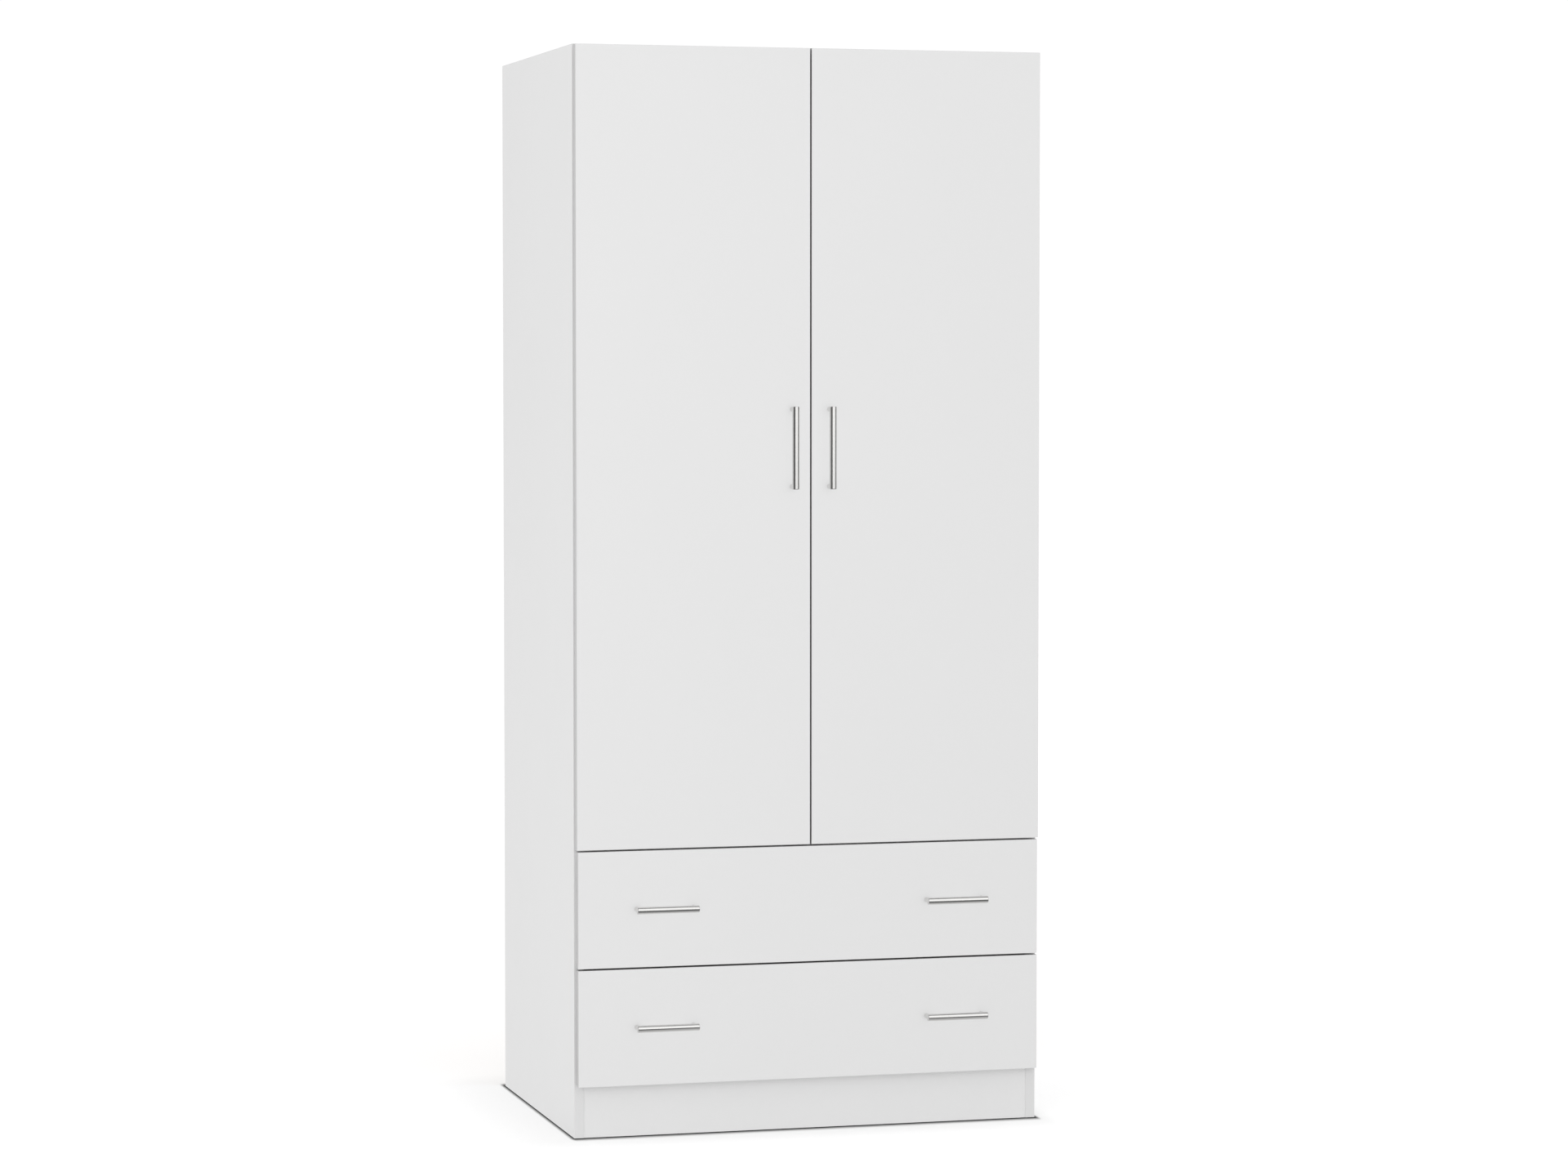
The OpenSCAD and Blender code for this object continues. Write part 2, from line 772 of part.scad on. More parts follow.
// outline of the arm's nose: eye, strap into the cup and the bend out of it
module hinge_nose_2d() {
    circle(knuckle_r);
    translate([0, -strap_low]) square([strap_end, strap_t]);
    translate([strap_end, bend_r - strap_low]) difference() {
        intersection() {
            circle(bend_r);
            translate([0, -bend_r]) square(bend_r);
        }
        circle(bend_r - strap_t);
    }
    translate([arm_x, bend_r - strap_low]) square([strap_t, case_y]);
}

module hinge_arm() {
    tail = plate_y + arm_tail;
    flange_front = plate_y - plate_rail_front - 4;
    difference() {
        union() {
            linear_extrude(height = 2 * nose_half, center = true) hinge_nose_2d();
            block([arm_x, pin_deep + 1, -arm_half], [arm_x + strap_t, tail, arm_half]);
            for (s = [-1, 1])
                translate([0, 0, s * (arm_half - arm_flange_t / 2)])
                    block([side_x + plate_t + arm_side_gap, flange_front, -arm_flange_t / 2],
                          [arm_x + eps, tail, arm_flange_t / 2]);
        }
        rod([0, 0, -nose_half - eps], up, 2 * (nose_half + eps), hinge_pin_r + pin_gap);
        for (y = arm_screw_y)
            rod([arm_x - eps, plate_y + y, 0], right, strap_t + 2 * eps, arm_screw_r + fit_gap);
    }
}

module left_hinge_arms() {
    color("silver") at_left_hinges() hinge_arm();
}

module right_hinge_arms() {
    mirror([1, 0, 0]) left_hinge_arms();
}

module hinge_arm_screws() {
    color("silver") both_sides() at_left_hinges() for (y = arm_screw_y)
        pan_screw([arm_x + strap_t, plate_y + y, 0], left, arm_screw_l, arm_screw_r,
                  arm_screw_head_r, screw_head_h);
}

module hinge_cup() {
    cavity_r = cup_d / 2 - cup_wall;
    floor_y = pin_deep - cup_depth;
    difference() {
        union() {
            cup_shell(cavity_r, floor_y);
            intersection() {
                rod([cup_x, floor_y + cup_floor - eps, 0], back, cup_depth, cavity_r + eps);
                for (s = [-1, 1])
                    translate([0, 0, s * (nose_half + lug_gap + cup_d / 4)])
                        block([-cup_d, floor_y + cup_floor - eps, -cup_d / 4],
                              [hinge_pin_r + lug_wall, hinge_pin_r + lug_wall, cup_d / 4]);
            }
        }
        rod([0, 0, -hinge_pin_half - fit_gap], up, 2 * (hinge_pin_half + fit_gap),
            hinge_pin_r + fit_gap);
    }
}

// the pressed cup with its flange and screw wings, before the lugs that carry the pin
module cup_shell(cavity_r, floor_y) {
    difference() {
        union() {
            rod([cup_x, floor_y, 0], back, cup_depth, cup_d / 2);
            rod([cup_x, pin_deep, 0], back, cup_flange_t, cup_flange_r);
            for (s = [-1, 1]) {
                rod([cup_x + cup_screw_x, pin_deep, s * cup_screw_z], back, cup_flange_t, cup_wing_r);
                block([cup_x + cup_screw_x - cup_wing_r, pin_deep, min(0, s * cup_screw_z)],
                      [cup_x + cup_screw_x + cup_wing_r, pin_deep + cup_flange_t,
                       max(0, s * cup_screw_z)]);
            }
        }
        rod([cup_x, floor_y + cup_floor, 0], back, cup_depth + cup_flange_t, cavity_r);
        for (s = [-1, 1])
            rod([cup_x + cup_screw_x, pin_deep - eps, s * cup_screw_z], back,
                cup_flange_t + 2 * eps, screw_r + fit_gap);
    }
}

module left_hinge_cups() {
    color("silver") at_left_hinges() hinge_cup();
}

module right_hinge_cups() {
    mirror([1, 0, 0]) left_hinge_cups();
}

module left_hinge_pins() {
    color("gray") at_left_hinges()
        rod([0, 0, -hinge_pin_half], up, 2 * hinge_pin_half, hinge_pin_r);
}

module right_hinge_pins() {
    mirror([1, 0, 0]) left_hinge_pins();
}

module left_cup_screws() {
    color("silver") at_left_hinges() for (s = [-1, 1])
        pan_screw([cup_x + cup_screw_x, pin_deep + cup_flange_t, s * cup_screw_z], forward,
                  cup_screw_l, screw_r, screw_head_r, cup_screw_head_h);
}

module right_cup_screws() {
    mirror([1, 0, 0]) left_cup_screws();
}

// ---- doors ----

z_door_handle = (z_doors + z_doors_top) / 2;
door_screw_zs = [for (s = [-1, 1]) z_door_handle + s * door_handle_centres / 2];

module left_door() {
    color("white") difference() {
        block([-half_w + door_reveal, y_fronts, z_doors],
              [-front_gap / 2, y_fronts_rear, z_doors_top]);
        at_left_hinges() {
            rod([cup_x, pin_deep + eps, 0], forward, cup_depth + fit_gap + eps,
                cup_d / 2 + fit_gap);
            for (s = [-1, 1])
                rod([cup_x + cup_screw_x, pin_deep + eps, s * cup_screw_z], forward,
                    cup_screw_l + eps, screw_r + fit_gap);
        }
        for (z = door_screw_zs) handle_screw_hole(-door_handle_x, z);
    }
}

module right_door() {
    mirror([1, 0, 0]) left_door();
}

module left_door_handle() {
    color("silver") translate([-door_handle_x, y_fronts, z_door_handle])
        rotate([0, 90, 0]) bar_handle(door_handle_centres);
}

module right_door_handle() {
    mirror([1, 0, 0]) left_door_handle();
}

module left_handle_screws() {
    color("silver") for (z = door_screw_zs) handle_screw([-door_handle_x, y_fronts_rear, z]);
}

module right_handle_screws() {
    mirror([1, 0, 0]) left_handle_screws();
}

// ---- drawers; z0 is the lower edge of the drawer's front ----

function side_z(z0) = z0 + drawer_rise;
function bottom_z(z0) = side_z(z0) + bottom_rise;
function box_cam_points(z0) = [for (z = box_cam_z)
    [-box_half + drawer_board_t / 2, y_fronts_rear, side_z(z0) + z]];
function box_screw_points(z0) = [for (z = box_screw_z)
    [-box_half, y_fronts_rear + box_d - drawer_board_t / 2, side_z(z0) + z]];

module bottom_groove(z0) {
    reach = box_inner + box_groove;
    block([-reach, y_fronts_rear - box_groove, bottom_z(z0) - board_gap],
          [reach, y_fronts_rear + box_d + eps, bottom_z(z0) + drawer_bottom_t + board_gap]);
}

module drawer_front(z0) {
    reach = half_w - drawer_reveal;
    z_handle = z0 + drawer_front_h / 2;
    color("white") difference() {
        block([-reach, y_fronts, z0], [reach, y_fronts_rear, z0 + drawer_front_h]);
        bottom_groove(z0);
        both_sides() {
            for (p = box_cam_points(z0)) cam_bolt_hole(p, back);
            for (s = [-1, 1])
                handle_screw_hole(drawer_handle_x + s * drawer_handle_centres / 2, z_handle);
        }
    }
}

module drawer_side(z0) {
    z = runner_z(z0);
    groove = runner_h / 2 + runner_gap;
    color("white") difference() {
        block([-box_half, y_fronts_rear, side_z(z0)],
              [-box_half + drawer_board_t, y_fronts_rear + box_d, side_z(z0) + drawer_side_h]);
        block([-box_half - eps, y_fronts_rear - eps, z - groove],
              [-box_half + runner_groove, y_fronts_rear + box_d + eps, z + groove]);
        bottom_groove(z0);
        for (p = box_cam_points(z0)) {
            cam_tunnel(p, back);
            cam_pocket(p, back, right, small_cam_r, small_cam_h);
        }
        for (p = box_screw_points(z0))
            flush_hole(p, right, long_screw_l, long_screw_r, long_head_r);
    }
}

module drawer_back(z0) {
    color("white") difference() {
        block([-box_inner, y_fronts_rear + box_d - drawer_board_t,
               bottom_z(z0) + drawer_bottom_t + board_gap],
              [box_inner, y_fronts_rear + box_d, side_z(z0) + drawer_side_h]);
        both_sides() for (p = box_screw_points(z0))
            rod(p, right, long_screw_l + edge_gap, long_screw_r + fit_gap);
    }
}

module drawer_bottom(z0) {
    reach = box_inner + box_groove - edge_gap;
    color("white")
        block([-reach, y_fronts_rear - box_groove + edge_gap, bottom_z(z0)],
              [reach, y_fronts_rear + box_d, bottom_z(z0) + drawer_bottom_t]);
}

module drawer_handle(z0) {
    color("silver") translate([-drawer_handle_x, y_fronts, z0 + drawer_front_h / 2])
        bar_handle(drawer_handle_centres);
}

module drawer_cams(z0) {
    color("silver") both_sides() for (p = box_cam_points(z0)) {
        cam_bolt(p, back);
        cam_disc(p, back, right, small_cam_r, small_cam_h);
    }
}

module drawer_screws(z0) {
    color("silver") both_sides() {
        for (p = box_screw_points(z0))
            flush_screw(p, right, long_screw_l, long_screw_r, long_head_r);
        for (s = [-1, 1])
            handle_screw([drawer_handle_x + s * drawer_handle_centres / 2, y_fronts_rear,
                          z0 + drawer_front_h / 2]);
    }
}

module upper_drawer_front() {
    drawer_front(z_upper_drawer);
}

module upper_drawer_left_side() {
    drawer_side(z_upper_drawer);
}

module upper_drawer_right_side() {
    mirror([1, 0, 0]) drawer_side(z_upper_drawer);
}

module upper_drawer_back() {
    drawer_back(z_upper_drawer);
}

module upper_drawer_bottom() {
    drawer_bottom(z_upper_drawer);
}

module upper_drawer_left_handle() {
    drawer_handle(z_upper_drawer);
}

module upper_drawer_right_handle() {
    mirror([1, 0, 0]) drawer_handle(z_upper_drawer);
}

module upper_drawer_cams() {
    drawer_cams(z_upper_drawer);
}

module upper_drawer_screws() {
    drawer_screws(z_upper_drawer);
}

module lower_drawer_front() {
    drawer_front(z_lower_drawer);
}

module lower_drawer_left_side() {
    drawer_side(z_lower_drawer);
}

module lower_drawer_right_side() {
    mirror([1, 0, 0]) drawer_side(z_lower_drawer);
}

module lower_drawer_back() {
    drawer_back(z_lower_drawer);
}

module lower_drawer_bottom() {
    drawer_bottom(z_lower_drawer);
}

module lower_drawer_left_handle() {
    drawer_handle(z_lower_drawer);
}

module lower_drawer_right_handle() {
    mirror([1, 0, 0]) drawer_handle(z_lower_drawer);
}

module lower_drawer_cams() {
    drawer_cams(z_lower_drawer);
}

module lower_drawer_screws() {
    drawer_screws(z_lower_drawer);
}

left_side_panel();
right_side_panel();
top_panel();
base_panel();
divider_shelf();
hat_shelf();
plinth_front();
plinth_back();
back_board_lower();
back_board_upper();
back_joint_strip();
hanging_rail();
rail_sockets();
left_hinge_plates();
right_hinge_plates();
left_hinge_arms();
right_hinge_arms();
hinge_arm_screws();
cam_bolts();
cam_discs();
dowels();
shelf_pins();
upper_left_runner();
upper_right_runner();
lower_left_runner();
lower_right_runner();
carcase_screws();
back_nails();
wall_bracket();
door_bumpers();
left_door();
left_door_handle();
left_hinge_cups();
left_hinge_pins();
left_cup_screws();
left_handle_screws();
right_door();
right_door_handle();
right_hinge_cups();
right_hinge_pins();
right_cup_screws();
right_handle_screws();
upper_drawer_front();
upper_drawer_left_side();
upper_drawer_right_side();
upper_drawer_back();
upper_drawer_bottom();
upper_drawer_left_handle();
upper_drawer_right_handle();
upper_drawer_cams();
upper_drawer_screws();
lower_drawer_front();
lower_drawer_left_side();
lower_drawer_right_side();
lower_drawer_back();
lower_drawer_bottom();
lower_drawer_left_handle();
lower_drawer_right_handle();
lower_drawer_cams();
lower_drawer_screws();
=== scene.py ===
import json
import math

import bpy
import numpy as np
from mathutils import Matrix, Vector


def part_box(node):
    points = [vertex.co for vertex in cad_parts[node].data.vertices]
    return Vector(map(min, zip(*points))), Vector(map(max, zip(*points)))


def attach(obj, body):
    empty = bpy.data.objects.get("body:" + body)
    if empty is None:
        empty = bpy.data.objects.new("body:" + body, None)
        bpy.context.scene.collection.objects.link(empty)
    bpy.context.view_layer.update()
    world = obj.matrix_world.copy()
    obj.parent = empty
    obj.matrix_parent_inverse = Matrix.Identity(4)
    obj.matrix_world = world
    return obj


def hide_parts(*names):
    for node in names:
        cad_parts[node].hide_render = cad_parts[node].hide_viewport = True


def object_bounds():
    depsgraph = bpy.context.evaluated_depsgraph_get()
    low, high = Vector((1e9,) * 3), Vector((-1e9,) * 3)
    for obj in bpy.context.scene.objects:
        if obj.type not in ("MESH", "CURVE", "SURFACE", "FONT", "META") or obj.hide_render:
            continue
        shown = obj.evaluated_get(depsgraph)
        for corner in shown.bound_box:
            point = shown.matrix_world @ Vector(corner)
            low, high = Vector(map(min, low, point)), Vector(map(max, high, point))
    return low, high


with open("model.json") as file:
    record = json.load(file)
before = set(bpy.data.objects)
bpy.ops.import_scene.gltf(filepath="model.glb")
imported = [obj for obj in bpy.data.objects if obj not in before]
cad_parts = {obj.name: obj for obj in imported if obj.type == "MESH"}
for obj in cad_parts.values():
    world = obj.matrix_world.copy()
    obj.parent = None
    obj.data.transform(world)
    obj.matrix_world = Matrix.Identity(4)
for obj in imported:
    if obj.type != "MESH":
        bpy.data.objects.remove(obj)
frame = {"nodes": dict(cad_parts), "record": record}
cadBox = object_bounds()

scene = bpy.context.scene
nodes = frame["nodes"]
record = frame["record"]
slotOf = {part["node"]: part["material_slot"] for part in record["subparts"]}
bodyOf = {node: body for body, members in record["behaviour"]["bodies"].items() for node in members}
mm = 0.001
print("frame loaded:", len(nodes), "nodes")


class Value:
    # one value inside a material's nodes; arithmetic on it adds the Math nodes
    def __init__(self, recipe, socket):
        self.recipe = recipe
        self.socket = socket

    def maths(self, operation, *others):
        inputs = {i + 1: other for i, other in enumerate(others)}
        return self.recipe.node("ShaderNodeMath", {"operation": operation}, {0: self, **inputs})

    def __add__(self, other):
        return self.maths("ADD", other)

    def __sub__(self, other):
        return self.maths("SUBTRACT", other)

    def __mul__(self, other):
        return self.maths("MULTIPLY", other)

    def __truediv__(self, other):
        return self.maths("DIVIDE", other)

    def __rsub__(self, other):
        return self.recipe.node("ShaderNodeMath", {"operation": "SUBTRACT"}, {0: other, 1: self})

    __radd__ = __add__

    def least(self, other):
        return self.maths("MINIMUM", other)

    def most(self, other):
        return self.maths("MAXIMUM", other)

    def ramp(self, low, high):
        # 0 below low, 1 above high, straight between
        return self.recipe.node("ShaderNodeMapRange", {"clamp": True},
                                {"Value": self, "From Min": low, "From Max": high})

    def softRamp(self, low, high):
        # the same with an eased start and end
        return self.recipe.node("ShaderNodeMapRange",
                                {"clamp": True, "interpolation_type": "SMOOTHSTEP"},
                                {"Value": self, "From Min": low, "From Max": high})


class Recipe:
    # one node tree being written; node() makes any node from its type, settings and inputs
    def __init__(self, tree):
        self.tree = tree
        tree.nodes.clear()

    def node(self, kind, settings=None, inputs=None, output=0):
        made = self.tree.nodes.new(kind)
        for name, value in (settings or {}).items():
            setattr(made, name, value)
        for name, value in (inputs or {}).items():
            if isinstance(value, Value):
                self.tree.links.new(value.socket, made.inputs[name])
            else:
                made.inputs[name].default_value = value
        return Value(self, made.outputs[output]) if made.outputs else None

    def blend(self, factor, colourA, colourB):
        # colour A where factor is 0 and colour B where it is 1
        inputs = {0: factor, 6: colourA, 7: colourB}
        inputs = {k: (*v, 1.0) if isinstance(v, tuple) else v for k, v in inputs.items()}
        return self.node("ShaderNodeMix", {"data_type": "RGBA"}, inputs, output=2)

    def coordinates(self):
        return self.node("ShaderNodeTexCoord", output="Object")

    def uv(self):
        return self.node("ShaderNodeTexCoord", output="UV")

    def split(self, vector):
        parts = self.node("ShaderNodeSeparateXYZ", inputs={0: vector}).socket.node.outputs
        return [Value(self, part) for part in parts]

    def rays(self, *kinds):
        outputs = self.node("ShaderNodeLightPath").socket.node.outputs
        return [Value(self, outputs[kind]) for kind in kinds]

    def stretched(self, vector, scale):
        return self.node("ShaderNodeMapping", inputs={"Vector": vector, "Scale": scale})

    def noise(self, vector, scale, detail=2.0, roughness=0.5):
        return self.node("ShaderNodeTexNoise",
                         inputs={"Vector": vector, "Scale": scale, "Detail": detail,
                                 "Roughness": roughness})

    def cells(self, vector, scale, output="Distance"):
        return self.node("ShaderNodeTexVoronoi", inputs={"Vector": vector, "Scale": scale},
                         output=output)

    def bump(self, height, depth):
        # height 0 to 1 becomes a relief of this depth, in metres
        return self.node("ShaderNodeBump", inputs={"Height": height, "Strength": 1.0,
                                                   "Distance": depth}, output="Normal")


def newRecipe(name):
    material = bpy.data.materials.new(name)
    material.use_nodes = True
    return material, Recipe(material.node_tree)


room = {
    "cameraPlace": (-1.9873, -7.3632, 1.2686),
    "cameraTurn": 0.2673,        # radians to the right of straight at the fronts
    "cameraDip": 0.0492,         # radians below level
    "lens": 101.84,
    "lensSensor": 36.0,
    "domeLight": 0.825,          # what the dome gives the boards
    "domeSeen": 1.02,            # what the camera sees of it
    "keyPlace": (-3.9, -5.0, 1.6),
    "keyAim": (0.0, 0.0, 0.9),
    "keySize": 3.4,
    "keyPower": 76.0,
}
studio = {        # what a mirror sees in place of the dome; angles in radians from straight in front
    "bright": 1.25,
    "darker": 1.12,              # how much darker the gaps are
    "behind": 0.40,              # how much darker the room behind is
    "leftGap": (-1.95, -1.75, -0.60, -0.44),       # fades in over the first two, out over the last
    "rightGap": (0.95, 1.12, 1.75, 1.95),
    "ceiling": (0.80, 0.90),     # how far up a ray has to point
    "ceilingDark": 0.7,
    "backFrom": (1.9, 2.3),      # angle to either side where the duller room begins
}
sheet = {
    "size": 40.0,
    "below": 0.1 * mm,               # how far it lies under the feet
    "white": 0.80,
    "grain": 0.01,
    "grainSize": 90.0,
    "glow": 0.24,                    # light of its own, so its white meets the dome's
    "glowSeen": 0.39,                # the same as the camera sees it
    "lineReach": (0.010, 0.034),     # how far the painted contact shadow round the feet spreads, in x and y
    "lineShade": 0.0,                # tone of that painted shadow at the feet
    "softReach": 0.22,               # how far the faint painted shadow round the feet spreads
    "softLean": 5.0,                 # how many times sooner it ends on the right than on the left
    "softDepth": 2.0,                # more than 1 ends it sooner in y than in x
    "softShade": 0.90,               # tone of that painted shadow at the feet
    "mirrorFront": 0.16,             # how bright a mirror sees it in front of the wardrobe
    "mirrorBack": 0.9,               # and behind it
    "mirrorTurn": (-0.9, 0.1),       # from this y to this y the one becomes the other
}


def lookAt(place, target):
    # the turn that points an object's own -Z from place to target, with +Y kept upwards
    way = np.array(target, float) - np.array(place, float)
    level = math.hypot(way[0], way[1])
    return (math.atan2(level, -way[2]), 0.0, math.atan2(-way[0], way[1]))


def makeCamera():
    # a long lens, aimed by its turn and dip, so the view is the same at any size of the object
    lens = bpy.data.cameras.new("camera")
    lens.lens = room["lens"]
    lens.sensor_width = room["lensSensor"]
    lens.clip_start = 0.05
    lens.clip_end = 200.0
    camera = bpy.data.objects.new("camera", lens)
    scene.collection.objects.link(camera)
    camera.location = room["cameraPlace"]
    camera.rotation_euler = (math.pi / 2 - room["cameraDip"], 0.0, -room["cameraTurn"])
    scene.camera = camera


def makeWorld():
    # even white dome; a mirror-like surface sees a studio instead: a wide soft box in front,
    # two dark gaps beside it, a dark ceiling, and a duller room behind
    world = bpy.data.worlds.new("dome")
    world.use_nodes = True
    scene.world = world
    r = Recipe(world.node_tree)
    x, y, z = r.split(r.node("ShaderNodeTexCoord", output="Generated"))
    turn = r.node("ShaderNodeMath", {"operation": "ARCTAN2"}, {0: x, 1: 0.0 - y})

    def gap(start, full, fading, end):
        return turn.softRamp(start, full) * (1.0 - turn.softRamp(fading, end))
    ceiling = z.softRamp(*studio["ceiling"]) * studio["ceilingDark"]
    dark = gap(*studio["leftGap"]).most(gap(*studio["rightGap"])).most(ceiling)
    back = turn.maths("ABSOLUTE").softRamp(*studio["backFrom"])
    mirrored = studio["bright"] - dark * studio["darker"] - back * studio["behind"] * (1.0 - dark)
    glossy, bounces, seen = r.rays("Is Glossy Ray", "Diffuse Depth", "Is Camera Ray")
    glossy = glossy * (1.0 - bounces.least(1.0))
    plain = room["domeLight"] + seen * (room["domeSeen"] - room["domeLight"])
    strength = plain * (1.0 - glossy) + mirrored * glossy
    background = r.node("ShaderNodeBackground", inputs={"Color": (1.0, 1.0, 1.0, 1.0),
                                                        "Strength": strength})
    r.node("ShaderNodeOutputWorld", inputs={"Surface": background})


def makeKeyLight():
    # one big soft light at the front left, so reveals keep a soft shadow
    light = bpy.data.lights.new("softbox", "AREA")
    light.shape = "SQUARE"
    light.size = room["keySize"]
    light.energy = room["keyPower"]
    lamp = bpy.data.objects.new("softbox", light)
    scene.collection.objects.link(lamp)
    lamp.location = room["keyPlace"]
    lamp.rotation_euler = lookAt(room["keyPlace"], room["keyAim"])
    lamp.visible_glossy = False


def paintedFloorShadow(r, x, y):
    # painted shadow on the floor: a dark contact shadow close round the feet, and a faint wide
    # shadow that leans
    # to the left: both fall with the distance to the nearest foot's rectangle
    reachX, reachY = sheet["lineReach"]
    contactShadow, softShadow = 0.0, 0.0
    for foot in ("left_side_panel", "right_side_panel", "plinth_front", "plinth_back"):
        low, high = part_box(foot)
        outLeft, outRight = (low[0] - x).most(0.0), (x - high[0]).most(0.0)
        outX = outLeft + outRight
        outY = (y - high[1]).most(low[1] - y).most(0.0)
        near = (outX * outX / reachX ** 2 + outY * outY / reachY ** 2).maths("SQRT")
        leaning = outLeft + outRight * sheet["softLean"]
        far = (leaning * leaning + outY * outY * sheet["softDepth"]).maths("SQRT")
        contactShadow = (1.0 - near.softRamp(0.0, 1.0)).most(contactShadow)
        softShadow = (1.0 - (far / sheet["softReach"]).softRamp(0.0, 1.0)).most(softShadow)
    return (1.0 - contactShadow * (1.0 - sheet["lineShade"])) * (1.0 - softShadow * (1.0 - sheet["softShade"]))


def makeFloor():
    # a wide level sheet just under the wardrobe's feet, with painted shadow round them
    half = sheet["size"] / 2
    corners = np.array([[-half, -half, 0], [half, -half, 0], [half, half, 0], [-half, half, 0]])
    corners[:, 2] = cadBox[0][2] - sheet["below"]
    mesh = bpy.data.meshes.new("floor")
    mesh.from_pydata(corners.tolist(), [], [[0, 1, 2, 3]])
    floor = bpy.data.objects.new("floor", mesh)
    scene.collection.objects.link(floor)
    material, r = newRecipe("floorWhite")
    glossy, seen = r.rays("Is Glossy Ray", "Is Camera Ray")
    place = r.coordinates()
    x, y, z = r.split(place)
    # painted shadow: as the camera sees it, the floor's colour and glow darken round the feet
    shade = 1.0 - seen * (1.0 - paintedFloorShadow(r, x, y))
    grain = r.noise(place, sheet["grainSize"], 3.0)
    tone = (sheet["white"] + (grain - 0.5) * sheet["grain"]) * shade
    colour = r.node("ShaderNodeCombineColor", inputs={0: tone, 1: tone, 2: tone})
    matt = r.node("ShaderNodeBsdfDiffuse", inputs={"Color": colour})
    shine = sheet["glow"] + seen * (sheet["glowSeen"] - sheet["glow"])
    glow = r.node("ShaderNodeEmission", inputs={"Color": (1.0, 1.0, 1.0, 1.0),
                                                "Strength": shine * shade})
    lit = r.node("ShaderNodeAddShader", inputs={0: matt, 1: glow})
    behind = y.softRamp(*sheet["mirrorTurn"])
    level = sheet["mirrorFront"] + behind * (sheet["mirrorBack"] - sheet["mirrorFront"])
    dim = r.node("ShaderNodeEmission", inputs={"Strength": level})
    shown = r.node("ShaderNodeMixShader", inputs={0: glossy, 1: lit, 2: dim})
    r.node("ShaderNodeOutputMaterial", inputs={"Surface": shown})
    mesh.materials.append(material)


makeCamera()
makeWorld()
makeKeyLight()
makeFloor()
scene.view_settings.view_transform = "Standard"
scene.view_settings.look = "None"
print("camera, dome, soft light and floor made")


def scaled(colour, factor):
    return tuple(min(1.0, part * factor) for part in colour)


def finishSurface(recipe, colour, roughness, normal, **constants):
    # the shader itself: varying colour, roughness and normal, everything else one number
    inputs = {"Base Color": colour, "Roughness": roughness, "Normal": normal, **constants}
    shader = recipe.node("ShaderNodeBsdfPrincipled", inputs=inputs)
    recipe.node("ShaderNodeOutputMaterial", inputs={"Surface": shader})


white = {
    "frontWhite": (0.775, 0.775, 0.775),    # doors and drawer fronts
    "boardWhite": (0.775, 0.775, 0.775),    # carcase boards
    "drawerWhite": (0.75, 0.75, 0.745),     # foil-wrapped drawer boards
    "duller": 0.985,
    "brighter": 1.012,
    "cloudSize": 3.0,
    "fineSize": 260.0,
    "touchSize": 14.0,           # patches a little glossier or duller, as from handling
    "skinThickness": 0.3 * mm,
    "bandThickness": 0.6 * mm,
    "bandEdge": (0.25 * mm, 0.45 * mm),     # where the face turns into the edge band
    "frontBand": 0.66,           # painted shade: the fronts' edge bands darker than the face, standing for the shade in the gaps between fronts
    # painted shade: the carcase boards' edge bands a little darker than the face, standing for the
    # shade on their front edges and in the gaps
    "boardBand": 0.93,
    "seamWidth": 0.12 * mm,
    "seamShade": 0.90,
    "seamDepth": 0.03 * mm,
    "sheen": 0.36,
    "touchSheen": 0.10,
    "fineSheen": 0.08,
    "seamSheen": 0.15,
    "pearl": 0.018 * mm,
    "frontPearl": 0.55,          # the fronts' pearl against the boards'
    "pearlSize": 1500.0,
    "ripple": 0.012 * mm,
    "rippleSize": 55.0,
}
chipboard = {
    "light": (0.62, 0.47, 0.29),
    "dark": (0.27, 0.17, 0.09),
    "flake": 2.4 * mm,
    "dustSize": 900.0,
    "relief": 0.22 * mm,
    "dullness": 0.88,
}
hardboard = {
    "print": (0.74, 0.74, 0.735),
    "brown": (0.30, 0.185, 0.10),
    "darkBrown": (0.17, 0.10, 0.055),
    "printThickness": 0.15 * mm,
    "printSheen": 0.46,
    "brownSheen": 0.78,
    "fibreSize": 420.0,
    "blotchSize": 18.0,
    "speckSize": 160.0,
    "printRelief": 0.02 * mm,
    "fibreRelief": 0.12 * mm,
}


def depthsIn(recipe, place, low, high, rawSides):
    # how far a point lies inside the board, along each axis, from the nearest covered side
    depths = []
    for i, (axis, value) in enumerate(zip("xyz", recipe.split(place))):
        sides = []
        if "-" + axis not in rawSides:
            sides.append(value - low[i])
        if "+" + axis not in rawSides:
            sides.append(high[i] - value)
        if len(sides) == 2:
            depths.append(sides[0].least(sides[1]))
        elif sides:
            depths.append(sides[0])
    return depths


def chipColours(recipe, place):
    # pressed wood flakes: each cell is one flake with its own brown, under a fine wood dust
    tone = recipe.split(recipe.cells(place, 1 / chipboard["flake"], output="Color"))[0]
    dust = recipe.noise(place, chipboard["dustSize"], 4.0, 0.7)
    shade = (tone * 0.65 + dust * 0.5).ramp(0.15, 0.95)
    colour = recipe.blend(shade, chipboard["dark"], chipboard["light"])
    return colour, tone * 0.5 + dust * 0.5


